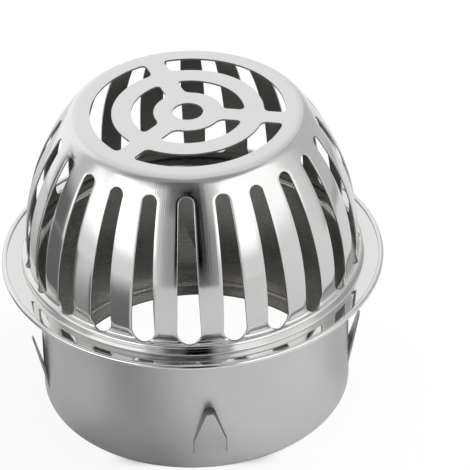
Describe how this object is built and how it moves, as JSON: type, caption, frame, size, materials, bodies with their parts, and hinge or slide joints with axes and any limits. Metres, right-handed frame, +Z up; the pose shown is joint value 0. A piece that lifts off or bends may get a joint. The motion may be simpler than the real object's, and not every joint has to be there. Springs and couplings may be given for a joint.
{
  "type": "domed drain strainer",
  "caption": "Domed stainless drain strainer with tapered side slots, arc slots in its flat top, a rolled flange, and a collar whose spring tabs grip a downpipe.",
  "frame": {"origin": "on the vertical axis, in the plane of the collar's lower edge, which the part stands on", "axes": "+Z up along the axis from collar to dome top; -Y is the front of the picture, with one dome slot centred on it; +X is to the right"},
  "size_m": [0.125, 0.125, 0.1055],
  "materials": {
    "dome_steel": "bright polished stainless, satin on the flat top",
    "collar_steel": "satin stainless wall with a bright rolled rim"
  },
  "bodies": {
    "root": {"dome_strainer": "dome_steel", "collar": "collar_steel"}
  },
  "joints": []
}
